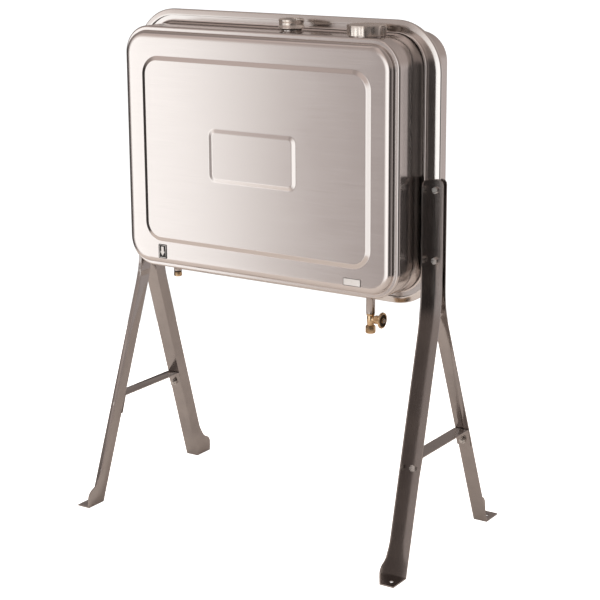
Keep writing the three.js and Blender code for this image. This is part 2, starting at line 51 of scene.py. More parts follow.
tankCentre = (rimLow.z + rimHigh.z) / 2
tankTop = tankCentre + 0.268
bodyOf = {name: body for body, names in frame["record"]["behaviour"]["bodies"].items() for name in names}
slotOf = {row["node"]: row["material_slot"] for row in frame["record"]["subparts"]}

# Camera
view = {
    "place": (1.9885, -2.9563, 1.4308),
    "yaw": 33.345,
    "pitch": 13.127,
    "roll": 0.35,
    "lens": 99.29,
    "rise": -0.075,
}


def setCamera(spec):
    lens = bpy.data.cameras.new("studioCamera")
    lens.lens = spec["lens"]
    lens.sensor_width = 36
    lens.shift_y = spec["rise"]
    camera = bpy.data.objects.new("studioCamera", lens)
    bpy.context.collection.objects.link(camera)
    aim = Euler((math.radians(90 - spec["pitch"]), 0, math.radians(spec["yaw"]))).to_matrix()
    roll = Matrix.Rotation(math.radians(-spec["roll"]), 3, "Z")
    camera.matrix_world = Matrix.Translation(spec["place"]) @ (aim @ roll).to_4x4()
    bpy.context.scene.camera = camera


setCamera(view)
bpy.context.scene.view_settings.view_transform = "Standard"
print("camera set")


# Shader maths: a socket that can be added, subtracted and multiplied
class Value:
    def __init__(self, paint, socket):
        self.paint, self.socket = paint, socket

    def maths(self, operation, *others):
        inputs = {i: value for i, value in enumerate(others)}
        return self.paint.node("ShaderNodeMath", {"operation": operation}, inputs)

    def __add__(self, other):
        return self.maths("ADD", self, other)

    def __sub__(self, other):
        return self.maths("SUBTRACT", self, other)

    def __rsub__(self, other):
        return self.maths("SUBTRACT", other, self)

    def __mul__(self, other):
        return self.maths("MULTIPLY", self, other)

    __radd__ = __add__
    __rmul__ = __mul__


# The nodes of one material, or of the world
class Paint:
    def __init__(self, owner):
        owner.use_nodes = True
        self.owner, self.tree = owner, owner.node_tree

    def node(self, kind, settings=None, inputs=None, output=0):
        made = self.tree.nodes.new(kind)
        for name, value in (settings or {}).items():
            if name == "stops":
                self.setStops(made.color_ramp, value)
            else:
                setattr(made, name, value)
        for name, value in (inputs or {}).items():
            self.feed(made.inputs[name], value)
        return Value(self, made.outputs[output])

    def setStops(self, ramp, stops):
        for i, (position, grey) in enumerate(stops):
            stop = ramp.elements[i] if i < 2 else ramp.elements.new(position)
            stop.position, stop.color = position, (grey, grey, grey, 1)

    def feed(self, socket, value):
        if isinstance(value, Value):
            self.tree.links.new(value.socket, socket)
        else:
            socket.default_value = value

    def shader(self, **sockets):
        for name, value in sockets.items():
            self.feed(self.tree.nodes["Principled BSDF"].inputs[name.replace("_", " ")], value)

    def place(self):
        return self.node("ShaderNodeTexCoord", output="Object")

    def stretched(self, scale):
        return self.node("ShaderNodeMapping", inputs={"Vector": self.place(), "Scale": scale})

    def noise(self, vector, scale, detail=3.0, rough=0.55):
        inputs = {"Vector": vector, "Scale": scale, "Detail": detail, "Roughness": rough}
        return self.node("ShaderNodeTexNoise", inputs=inputs)

    def ramp(self, value, *stops):
        return self.node("ShaderNodeValToRGB", {"stops": stops}, {"Fac": value})

    def between(self, value, low, high):
        settings = {"interpolation_type": "SMOOTHSTEP"}
        return self.node("ShaderNodeMapRange", settings, {0: value, 1: low, 2: high, 3: 0.0, 4: 1.0})

    def mix(self, factor, first, second):
        return self.node("ShaderNodeMix", {"data_type": "RGBA"}, {0: factor, 6: first, 7: second}, output=2)

    def bump(self, height, distance, strength=1.0):
        inputs = {"Height": height, "Distance": distance, "Strength": strength}
        return self.node("ShaderNodeBump", inputs=inputs)


def newPaint(name):
    return Paint(bpy.data.materials.new(name))


def tone(red, green, blue):
    return (red, green, blue, 1.0)


# Light: a soft room for the steel to reflect, and broad lamps for the rest
room = {
    # (azimuth in degrees, light): 0 is straight out from the tank's front, 90 its right-hand side
    "around": [
        (-180, 0.36), (-164, 0.2), (-149, 0.05), (-132, 0.16), (-92, 0.16), (-76, 0.05), (-64, 0.03),
        (-56, 0.3), (-51, 1.1), (-46, 1.5), (-38, 1.5), (-36.5, 1.3), (-35, 0.92), (-33.7, 0.64),
        (-32, 0.51), (-29, 0.44), (-25, 0.5), (-19, 1.3), (-10, 1.5), (5, 1.25), (14, 0.6), (22, 0.07),
        (44, 0.04), (62, 0.16), (96, 0.22), (112, 0.36), (132, 0.6), (160, 0.6), (180, 0.36),
    ],
    "brightest": 1.5,
    "overhead": 0.3,
    "spill": 0.26,  # share of the walls' light on the ceiling above them
    "rise": (-0.02, 0.2),
    "backdrop": 1.15,  # what the camera sees behind the tank
    "tinted": (0.5, 1.3),
    "dim": tone(1.0, 0.9, 0.87),
    "bright": tone(1.0, 0.995, 0.985),
    "ceiling": tone(1.0, 0.86, 0.8),
}


def setRoom(spec):
    world = bpy.data.worlds.new("studioRoom")
    bpy.context.scene.world = world
    paint = Paint(world)
    direction = paint.node("ShaderNodeTexCoord", output="Generated")
    split = {axis: paint.node("ShaderNodeSeparateXYZ", inputs={0: direction}, output=axis) for axis in range(3)}
    azimuth = paint.node("ShaderNodeMath", {"operation": "ARCTAN2"}, {0: split[0], 1: 0 - split[1]})
    stops = [(angle / 360 + 0.5, light / spec["brightest"]) for angle, light in spec["around"]]
    level = paint.ramp(azimuth * (0.5 / math.pi) + 0.5, *stops) * spec["brightest"]
    up = paint.between(split[2], *spec["rise"])
    light = level * (1 - up) + up * (level * spec["spill"] + spec["overhead"])
    tint = paint.mix(paint.between(level, *spec["tinted"]), spec["dim"], spec["bright"])
    tint = paint.mix(up, tint, spec["ceiling"])
    seen = paint.node("ShaderNodeLightPath", output="Is Camera Ray")
    background = paint.tree.nodes["Background"]
    paint.feed(background.inputs["Color"], paint.mix(seen, tint, tone(1, 1, 1)))
    paint.feed(background.inputs["Strength"], light * (1 - seen) + seen * spec["backdrop"])


lamps = {
    "overhead": {"place": (0.0, -0.3, 3.4), "size": 3.0, "power": 30},
    "front": {"place": (-2.2, -3.4, 2.6), "size": 1.6, "power": 75},
}


def setLamps(spec):
    for name, part in spec.items():
        lamp = bpy.data.lights.new(name, "AREA")
        lamp.size, lamp.energy = part["size"], part["power"]
        holder = bpy.data.objects.new(name, lamp)
        bpy.context.collection.objects.link(holder)
        holder.visible_glossy = False  # the steel reflects the room only
        aim = Vector((0, 0, 0.6)) - Vector(part["place"])
        turn = aim.to_track_quat("-Z", "Y").to_matrix().to_4x4()
        holder.matrix_world = Matrix.Translation(part["place"]) @ turn


ground = {
    "radius": 1.7,
    "level": -0.0005,
    "first": tone(0.92, 0.86, 0.8),
    "second": tone(0.96, 0.9, 0.84),
    "glow": 1.2,
}


def setFloor(spec):
    bpy.ops.object.select_all(action="DESELECT")
    place = (0, 0, spec["level"])
    bpy.ops.mesh.primitive_circle_add(vertices=96, radius=spec["radius"], fill_type="NGON", location=place)
    floor = bpy.context.active_object
    floor.name = "studioFloor"
    paint = newPaint("paleFloor")
    cloud = paint.noise(paint.place(), 3.0)
    shade = paint.mix(cloud, spec["first"], spec["second"])
    seen = paint.node("ShaderNodeLightPath", output="Is Camera Ray")
    glow = paint.mix(seen, tone(0, 0, 0), tone(1, 1, 1))
    paint.shader(Base_Color=shade, Roughness=0.9, Emission_Color=glow, Emission_Strength=spec["glow"])
    floor.data.materials.append(paint.owner)


setRoom(room)
setLamps(lamps)
setFloor(ground)
print("room and lamps set")


# Materials
def brushedSteel(name, first, second, roughness, grain):
    paint = newPaint(name)
    lines = paint.noise(paint.stretched(grain), 1.0, 4.0, 0.6)
    cloud = paint.noise(paint.place(), 5.0, 3.0)
    worn = paint.between(paint.noise(paint.place(), 34.0, 5.0, 0.7), 0.62, 0.8)
    shade = paint.mix(cloud, first, second)
    rough = roughness + (lines - 0.5) * 0.1 + (cloud - 0.5) * 0.05 + worn * 0.03
    height = lines * 0.5 + cloud * 0.2
    paint.shader(Base_Color=shade, Metallic=1.0, Roughness=rough, Normal=paint.bump(height, 0.00004, 0.5))
    return paint.owner


def dullSteel(name, first, second, roughness, grain):
    paint = newPaint(name)
    lines = paint.noise(paint.stretched(grain), 1.0, 4.0, 0.6)
    stain = paint.between(paint.noise(paint.place(), 9.0, 5.0, 0.65), 0.35, 0.75)
    shade = paint.mix(stain, first, second)
    rough = roughness + (lines - 0.5) * 0.16 + stain * 0.08
    paint.shader(Base_Color=shade, Metallic=1.0, Roughness=rough, Normal=paint.bump(lines, 0.00005, 0.6))
    return paint.owner


def castMetal(name, first, second, roughness, grain, depth):
    paint = newPaint(name)
    grit = paint.noise(paint.place(), grain, 4.0, 0.6)
    stain = paint.between(paint.noise(paint.place(), 60.0, 4.0), 0.35, 0.7)
    shade = paint.mix(stain, first, second)
    rough = roughness + (grit - 0.5) * 0.2 + stain * 0.1
    paint.shader(Base_Color=shade, Metallic=1.0, Roughness=rough, Normal=paint.bump(grit, depth, 0.6))
    return paint.owner


def mouldedPlastic(name, first, second, roughness, grain, depth):
    paint = newPaint(name)
    grit = paint.noise(paint.place(), grain, 3.0)
    dust = paint.between(paint.noise(paint.place(), 80.0, 5.0, 0.7), 0.5, 0.8)
    shade = paint.mix(dust, first, second)
    paint.shader(Base_Color=shade, Roughness=roughness + grit * 0.12, Normal=paint.bump(grit, depth, 0.5))
    return paint.owner


def clearWindow(name):
    paint = newPaint(name)
    smear = paint.noise(paint.place(), 120.0, 4.0)
    paint.shader(Base_Color=tone(0.93, 0.97, 0.97), Roughness=0.04 + smear * 0.05)
    paint.shader(Transmission_Weight=1.0, IOR=1.46)
    return paint.owner


shellSteel = brushedSteel("shellSteel", tone(0.69, 0.645, 0.625), tone(0.72, 0.68, 0.66), 0.15, (9, 90, 620))
rimSteel = brushedSteel("rimSteel", tone(0.72, 0.69, 0.67), tone(0.77, 0.74, 0.72), 0.16, (14, 60, 14))
legSteel = dullSteel("legSteel", tone(0.46, 0.43, 0.415), tone(0.38, 0.355, 0.345), 0.15, (500, 500, 14))
fittingSteel = brushedSteel("fittingSteel", tone(0.5, 0.46, 0.44), tone(0.56, 0.52, 0.5), 0.18, (60, 60, 700))
zinc = castMetal("zincPlate", tone(0.78, 0.77, 0.75), tone(0.62, 0.61, 0.59), 0.22, 900.0, 0.00003)
chrome = castMetal("chromePlate", tone(0.86, 0.8, 0.74), tone(0.76, 0.7, 0.65), 0.24, 300.0, 0.00001)
brass = castMetal("castBrass", tone(0.8, 0.6, 0.38), tone(0.58, 0.38, 0.2), 0.2, 700.0, 0.00004)
darkBrass = castMetal("darkBrass", tone(0.09, 0.06, 0.03), tone(0.05, 0.035, 0.02), 0.45, 500.0, 0.00006)
rubber = mouldedPlastic("sealRubber", tone(0.022, 0.021, 0.02), tone(0.045, 0.043, 0.04), 0.6, 700.0, 0.00005)
ink = (tone(0.018, 0.018, 0.018), tone(0.035, 0.034, 0.033))
blackPlastic = mouldedPlastic("blackPlastic", *ink, 0.35, 900.0, 0.00003)
card = (tone(0.82, 0.81, 0.79), tone(0.72, 0.71, 0.68))
whitePlastic = mouldedPlastic("whitePlastic", *card, 0.4, 900.0, 0.00003)
window = clearWindow("clearWindow")
finishes = {
    "shell_steel": shellSteel,
    "rim_steel": rimSteel,
    "leg_steel": legSteel,
    "zinc": zinc,
    "chrome": chrome,
    "brass": brass,
    "rubber": rubber,
    "black_plastic": blackPlastic,
    "white_plastic": whitePlastic,
    "window": window,
}
print("finishes made")


# Mesh helpers
def activate(piece):
    bpy.ops.object.select_all(action="DESELECT")
    piece.select_set(True)
    bpy.context.view_layer.objects.active = piece


def newPiece(name):
    bpy.ops.object.select_all(action="DESELECT")
    bpy.ops.object.add(type="MESH", enter_editmode=True)
    piece = bpy.context.active_object
    piece.name = piece.data.name = name
    return piece


def pick(piece, kind, test):
    bpy.ops.mesh.select_mode(type=kind)
    bpy.ops.mesh.select_all(action="DESELECT")
    mesh = bmesh.from_edit_mesh(piece.data)
    parts = {"VERT": mesh.verts, "EDGE": mesh.edges, "FACE": mesh.faces}[kind]
    for part in parts:
        if test(part):
            part.select_set(True)
    bmesh.update_edit_mesh(piece.data)


def closeUp(merge=0.00001):
    # doubles merged and faces turned outwards
    bpy.ops.mesh.select_all(action="SELECT")
    bpy.ops.mesh.remove_doubles(threshold=merge)
    bpy.ops.mesh.normals_make_consistent(inside=False)
    bpy.ops.object.mode_set(mode="OBJECT")


def applyModifier(piece, kind, **settings):
    activate(piece)
    bpy.ops.object.modifier_add(type=kind)
    modifier = piece.modifiers[-1]
    for name, value in settings.items():
        setattr(modifier, name, value)
    bpy.ops.object.modifier_apply(modifier=modifier.name)


def cut(piece, tool, operation="DIFFERENCE"):
    applyModifier(piece, "BOOLEAN", operation=operation, object=tool, solver="EXACT")
    bpy.data.objects.remove(tool)


def softenEdges(piece, width, segments=2, angle=30):
    applyModifier(piece, "BEVEL", width=width, segments=segments, limit_method="ANGLE",
                  angle_limit=math.radians(angle), use_clamp_overlap=True)


def smooth(piece, angle=32):
    activate(piece)
    bpy.ops.object.shade_smooth_by_angle(angle=math.radians(angle))


def evenShade(piece):
    # broad faces keep their own direction beside small rounded ones
    applyModifier(piece, "WEIGHTED_NORMAL", mode="FACE_AREA", weight=85, keep_sharp=True)


def settle(piece, node, finish=None):
    # the piece takes the place, body and slot of a CAD node
    if finish is not None:
        piece.data.materials.clear()
        piece.data.materials.append(finish)
    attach(piece, bodyOf[node])
    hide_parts(node)


def copyOf(piece, name):
    made = piece.copy()
    made.data = piece.data.copy()
    made.name = made.data.name = name
    bpy.context.collection.objects.link(made)
    return made


def flipped(piece, name, scale):
    # a mirror copy about the middle of the tank
    made = copyOf(piece, name)
    activate(made)
    bpy.ops.object.mode_set(mode="EDIT")
    bpy.ops.mesh.select_all(action="SELECT")
    bpy.ops.transform.resize(value=scale, center_override=(0, 0, 0))
    closeUp()
    return made


axes = {
    "X": (Vector((1, 0, 0)), (0, math.pi / 2, 0)),
    "Y": (Vector((0, 1, 0)), (-math.pi / 2, 0, 0)),
    "Z": (Vector((0, 0, 1)), (0, 0, 0)),
}


def turned(name, centre, profile, axis="Z", sides=48, tube=False):
    # a circle drawn out ring by ring: profile rows are (radius, distance along the axis), in mm
    direction, rotation = axes[axis]
    centre = Vector(centre)
    piece = newPiece(name)
    radius, along = profile[0]
    start = centre + direction * along * mm
    bpy.ops.mesh.primitive_circle_add(vertices=sides, radius=radius * mm, location=start, rotation=rotation)
    for nextRadius, nextAlong in profile[1:]:
        step = direction * (nextAlong - along) * mm
        bpy.ops.mesh.extrude_edges_move(TRANSFORM_OT_translate={"value": step})
        ratio = nextRadius / radius
        value = [1 if part else ratio for part in direction]
        bpy.ops.transform.resize(value=value, center_override=centre + direction * nextAlong * mm)
        radius, along = nextRadius, nextAlong
    pick(piece, "EDGE", lambda edge: edge.is_boundary)
    if tube:
        bpy.ops.mesh.bridge_edge_loops()
    else:
        bpy.ops.mesh.fill_holes(sides=0)
    closeUp()
    return piece


def arc(centre, radii, start, end, steps=6):
    # points on an ellipse quarter, in degrees
    rows = []
    for i in range(steps + 1):
        angle = math.radians(start + (end - start) * i / steps)
        rows.append((centre[0] + radii[0] * math.cos(angle), centre[1] + radii[1] * math.sin(angle)))
    return rows


def hexStock(name, centre, flats, start, end, axis, hole=None, chamfer=0.9):
    # hexagonal bar with both ends turned down to a chamfer
    direction, rotation = axes[axis]
    middle = Vector(centre) + direction * (start + end) / 2 * mm
    bpy.ops.object.select_all(action="DESELECT")
    bpy.ops.mesh.primitive_cylinder_add(vertices=6, radius=flats / math.sqrt(3) * mm, depth=(end - start) * mm,
                                        location=middle, rotation=rotation)
    piece = bpy.context.active_object
    piece.name = piece.data.name = name
    bpy.ops.object.transform_apply(location=True, rotation=True, scale=True)
    corner = flats / math.sqrt(3) + 0.05
    face = flats / 2 - 0.1
    blank = [(face, start - 0.01), (corner, start + chamfer), (corner, end - chamfer), (face, end + 0.01)]
    cut(piece, turned("blank", centre, blank, axis, 64), "INTERSECT")
    if hole:
        cut(piece, turned("drill", centre, [(hole, start - 3), (hole, end + 3)], axis, 40))
    softenEdges(piece, 0.25 * mm, 2, 40)
    smooth(piece, 35)
    return piece


def lofted(name, rings, steps, loop=False):
    # rounded rectangles facing along Y, bridged one to the next
    # each ring is (half width, half height, corner radius, y), in mm
    piece = newPiece(name)
    for halfWidth, halfHeight, radius, y in rings:
        bpy.ops.mesh.select_mode(type="VERT")
        middle = (0, y * mm, tankCentre)
        bpy.ops.mesh.primitive_plane_add(size=2 * mm, location=middle, rotation=(math.pi / 2, 0, 0))
        bpy.ops.transform.resize(value=(halfWidth, 1, halfHeight), center_override=middle)
        bpy.ops.mesh.bevel(offset=radius * mm, segments=steps, affect="VERTICES")
        bpy.ops.object.vertex_group_assign_new()
        bpy.ops.mesh.delete(type="ONLY_FACE")
    bpy.ops.mesh.select_all(action="DESELECT")
    count = len(rings)
    for i in range(count if loop else count - 1):
        for group in (i, (i + 1) % count):
            piece.vertex_groups.active_index = group
            bpy.ops.object.vertex_group_select()
        bpy.ops.mesh.bridge_edge_loops()
        bpy.ops.mesh.select_all(action="DESELECT")
    if not loop:
        piece.vertex_groups.active_index = count - 1
        bpy.ops.object.vertex_group_select()
        bpy.ops.mesh.edge_face_add()
    bpy.ops.object.vertex_group_remove(all=True)
    return piece


# Half shells: weld flange, flared wall, stepped shoulder, and two panels pressed out of the flat face
shell = {
    "halfWidth": 349,
    "halfHeight": 268,
    "radius": 62,
    "face": 116.3,
    "wallSpan": (25.3, 94),
    "wall": 2,
    "bulge": 0.9,
    "bigBead": (287, 201.5, 38),
    "smallBead": (107.5, 54, 13),
    "beadHalf": 5,
    "beadRises": (3, 1.6),
    "crown": 0.18,
    "cornerSteps": 14,
}


def bevelSteps(half):
    # across a sloping wall with eased edges: distance from its middle, and share of the rise
    outer = [(half, 0.02), (half * 0.8, 0.07), (half * 0.6, 0.2)]
    return outer + [(-across, 1 - part) for across, part in outer[::-1]]


def shellRings(spec):
    start, end = spec["wallSpan"]
    profile = [(-8, 3.2)] + arc((-6, start), (6, 22), -90, 0, 7)
    for i in range(1, 6):
        part = i / 6
        profile.append((-spec["bulge"] * math.sin(math.pi * part), start + (end - start) * part))
    # a tight fillet, a flat ledge, a step, and a shoulder that rolls softly into the face
    profile += arc((3.2, 95.5), (4.2, 4.5), 180, 90, 7)
    profile += arc((8, 102.1), (2, 2), -90, 0, 4)
    profile += [(10.1, 104.8)]
    profile += arc((19.3, 107.2), (9, 8), 180, 90, 8)[:-1]
    profile += [(19, 115.2), (21.5, 115.72), (25, 115.9), (30, 116), (38, 116.06), (46, 116.1)]
    rings = []
    for inset, depth in profile:
        rings.append((spec["halfWidth"] - inset, spec["halfHeight"] - inset, spec["radius"] - inset, -depth))
    # the face rises by a hair towards its middle, as pressed sheet does
    level, half = spec["face"], spec["beadHalf"]
    for (halfWidth, halfHeight, radius), rise in zip((spec["bigBead"], spec["smallBead"]), spec["beadRises"]):
        for across, part in [(half + 1.2, 0)] + bevelSteps(half) + [(-half - 1.2, 1)]:
            crown = spec["crown"] * (halfWidth + across) / spec["halfWidth"]
            depth = level - crown + rise * part
            rings.append((halfWidth + across, halfHeight + across, radius + across, -depth))
        level += rise
    return rings


def makeShells(spec):
    front = lofted("frontShell", shellRings(spec), spec["cornerSteps"])
    closeUp()
    # an open shell: the flat face has to look forwards
    flat = max(front.data.polygons, key=lambda face: face.area)
    if flat.normal.y > 0:
        front.data.flip_normals()
    applyModifier(front, "SOLIDIFY", thickness=spec["wall"] * mm, offset=-1, use_even_offset=True)
    rear = flipped(front, "rearShell", (1, -1, 1))
    fittings = {
        "filler_neck": (30, 1),
        "gauge_socket": (22, 1),
        "outlet_stub": (9.6, -1),
        "drain_socket": (9, -1),
    }
    for node, (radius, up) in fittings.items():
        low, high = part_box(node)
        middle = (low + high) / 2
        middle.z = tankCentre + up * spec["halfHeight"] * mm
        cut(front, turned("drill", middle, [(radius + gap, -15), (radius + gap, 15)], "Z", 64))
    for piece, node in ((front, "front_shell"), (rear, "rear_shell")):
        smooth(piece, 30)
        evenShade(piece)
        settle(piece, node, shellSteel)


makeShells(shell)
print("shells made")


# Rim: a flat sheet between the shells, with a folded band round its edge
rim = {
    "halfWidth": 391,
    "halfHeight": 299,
    "radius": 105,
    "sheet": 1,
    "front": 6,
    "lip": 1.6,
    "band": 14,
    "innerEdge": 44,
    "fall": 1.35,
    "cornerSteps": 20,
    "boltRadius": 4.3,
}


def makeRim(spec):
    # each ring lies a little deeper than the one before, so that the bridges run straight
    lip, front, band = spec["lip"], spec["front"], spec["band"]
    half = [(spec["innerEdge"], spec["sheet"]), (24, spec["sheet"] + 0.03)]
    half += arc((lip + 2, spec["sheet"] + 2.06), (2, 2), 270, 180, 3)
    half += [(lip, front - lip - 0.7), (lip + 0.6, front - lip - 0.1)]
    half += arc((band - lip / 2, front - lip / 2 - 0.06), (lip / 2, lip / 2), -90, 90, 5)
    # the band falls away a little towards its outer edge
    fall = spec["fall"]
    half += [(band - 4, front - 0.25 * fall)] + arc((2.6, front - fall - 2.4), (2.6, 2.4), 90, 180, 6)
    back = [(inset, -depth) for inset, depth in half]
    rings = []
    for inset, depth in half + back[::-1]:
        rings.append((spec["halfWidth"] - inset, spec["halfHeight"] - inset, spec["radius"] - inset, -depth))
    piece = lofted("rim", rings, spec["cornerSteps"], loop=True)
    closeUp()
    for node in ("rim_bolt_lower_right", "rim_bolt_upper_right", "rim_bolt_lower_left", "rim_bolt_upper_left"):
        low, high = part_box(node)
        middle = (low + high) / 2
        middle.y = 0
        cut(piece, turned("drill", middle, [(spec["boltRadius"], -20), (spec["boltRadius"], 20)], "Y", 32))
    smooth(piece, 35)
    evenShade(piece)
    settle(piece, "rim", rimSteel)


makeRim(rim)
print("rim made")


# Legs: bent angle iron with a curved knee, rounded crown and foot plate
leg = {"knee": 46, "kneeCuts": 8, "crownRadius": 11, "edge": 1.1, "foot": 53, "braceEdge": 0.7}


def mergedCopy(node, name):
    made = frame["nodes"][node].copy()
    made.data = frame["nodes"][node].data.copy()
    for key in list(made.keys()):
        del made[key]
    made.parent = None
    made.name = made.data.name = name
    bpy.context.collection.objects.link(made)
    activate(made)
    bpy.ops.object.mode_set(mode="EDIT")
    bpy.ops.mesh.select_all(action="SELECT")
    bpy.ops.mesh.remove_doubles(threshold=0.00001)
    bpy.ops.mesh.dissolve_limited(angle_limit=math.radians(0.4))
    bpy.ops.object.mode_set(mode="OBJECT")
    return made


def legLean(spec):
    # how far the leg leans out for each metre down from its knee
    low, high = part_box("leg_front_right")
    return (abs(low.y) - abs(high.y) - spec["foot"] * mm) / rimLow.z


def makeLegs(spec):
    knee, lean = rimLow.z, legLean(spec)
    piece = mergedCopy("leg_front_right", "legFrontRight")
    bpy.ops.object.mode_set(mode="EDIT")
    span, cuts = spec["knee"] * mm, spec["kneeCuts"]
    for i in range(cuts + 1):
        level = knee + span * (2 * i / cuts - 1)
        bpy.ops.mesh.select_all(action="SELECT")
        bpy.ops.mesh.bisect(plane_co=(0, 0, level), plane_no=(0, 0, 1))
    # the sharp knee is eased onto a curve, level by level
    for i in range(1, cuts):
        level = knee + span * (2 * i / cuts - 1)
        past = span + (knee - level)
        ease = lean * past * past / (4 * span) - lean * max(0, knee - level)
        pick(piece, "VERT", lambda point: abs(point.co.z - level) < 0.0001)
        bpy.ops.transform.translate(value=(0, -ease, 0))
    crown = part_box("leg_front_right")[1].z - 0.0001
    pick(piece, "EDGE", lambda edge: all(point.co.z > crown and point.co.x > rimHigh.x for point in edge.verts)
         and abs(edge.verts[0].co.y - edge.verts[1].co.y) > 0.002)
    bpy.ops.mesh.bevel(offset=spec["crownRadius"] * mm, segments=6, affect="EDGES")
    closeUp()
    softenEdges(piece, spec["edge"] * mm, 3, 28)
    smooth(piece, 30)
    evenShade(piece)
    copies = {
        "leg_front_left": ("legFrontLeft", (-1, 1, 1)),
        "leg_rear_right": ("legRearRight", (1, -1, 1)),
        "leg_rear_left": ("legRearLeft", (-1, -1, 1)),
    }
    for node, (name, scale) in copies.items():
        settle(flipped(piece, name, scale), node, legSteel)
    settle(piece, "leg_front_right", legSteel)


def makeBraces():
    brace = mergedCopy("brace_right", "braceRight")
    softenEdges(brace, leg["braceEdge"] * mm, 3, 28)
    smooth(brace, 30)
    evenShade(brace)
    settle(flipped(brace, "braceLeft", (-1, 1, 1)), "brace_left", legSteel)
    settle(brace, "brace_right", legSteel)


makeLegs(leg)
makeBraces()
print("legs and braces made")


# Fasteners: one bolt and one nut of each length, copied to every place
fastener = {
    "flats": 13,
    "head": 5.5,
    "nut": 6.5,
    "shank": 4,
    "thread": 0.35,
    "pitch": 1.25,
    "threaded": 11,
    "rimLength": 28.7,
    "braceLength": 16.4,
}


def makeBolt(spec, name, length):
    # head behind the origin, shank forwards along +Z
    bolt = hexStock(name, (0, 0, 0), spec["flats"], -spec["head"], 0, "Z")
    radius, crest = spec["shank"], spec["pitch"] / 2
    place = length - spec["threaded"]
    rows = [(radius, -1), (radius, place)]
    while place < length - 1:
        rows += [(radius - spec["thread"], place + crest * 0.8), (radius, place + crest * 1.6)]
        place += spec["pitch"]
    rows += [(radius - 0.8, length)]
    shank = turned("shank", (0, 0, 0), [row for row in rows if row[1] <= length], "Z", 24)
    cut(bolt, shank, "UNION")
    smooth(bolt, 30)
    return bolt


def moveTo(piece, place, direction):
    # turns a piece made along +Z to a direction, at a place, in its mesh
    turn = Vector((0, 0, 1)).rotation_difference(direction).to_matrix().to_4x4()
    piece.data.transform(Matrix.Translation(place) @ turn)
    return piece


def makeFasteners(spec):
    rimBolt = makeBolt(spec, "rimBolt", spec["rimLength"])
    braceBolt = makeBolt(spec, "braceBolt", spec["braceLength"])
    nut = hexStock("hexNut", (0, 0, 0), spec["flats"], 0, spec["nut"], "Z", hole=spec["shank"] + gap)
    leanAngle = math.atan(legLean(leg))
    for side, hand in ((1, "right"), (-1, "left")):
        for level in ("lower", "upper"):
            for kind, model in (("bolt", rimBolt), ("nut", nut)):
                node = f"rim_{kind}_{level}_{hand}"
                low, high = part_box(node)
                middle = (low + high) / 2
                seat = low.y + spec["head"] * mm if kind == "bolt" else low.y
                piece = copyOf(model, node.replace("_", "") + "Piece")
                moveTo(piece, Vector((middle.x, seat, middle.z)), Vector((0, 1, 0)))
                settle(piece, node, zinc)
        for end, forward in (("front", -1), ("rear", 1)):
            inward = Vector((0, -forward * math.cos(leanAngle), -math.sin(leanAngle)))
            for kind, model in (("bolt", braceBolt), ("nut", nut)):
                node = f"brace_{kind}_{end}_{hand}"
                points = [point.co for point in frame["nodes"][node].data.vertices]
                along = [point.dot(inward) for point in points]
                low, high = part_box(node)
                middle = (low + high) / 2
                seat = min(along) + (spec["head"] * mm if kind == "bolt" else 0)
                centre = middle + inward * (seat - middle.dot(inward))
                piece = copyOf(model, node.replace("_", "") + "Piece")
                moveTo(piece, centre, inward)
                settle(piece, node, zinc)
    for model in (rimBolt, braceBolt, nut):
        bpy.data.objects.remove(model)


makeFasteners(fastener)
print("fasteners made")


def middleOf(node):
    low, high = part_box(node)
    return (low + high) / 2, low, high


# Filler: neck, seal and screw cap
filler = {
    "bore": 26,
    "neck": 30,
    "flange": 37,
    "sealBore": 25,
    "corners": 8,
    "cap": 41.8,
    "capCorner": 5,
    "capBore": 31,
    "notchReach": 46.5,
    "notch": 8.6,
}


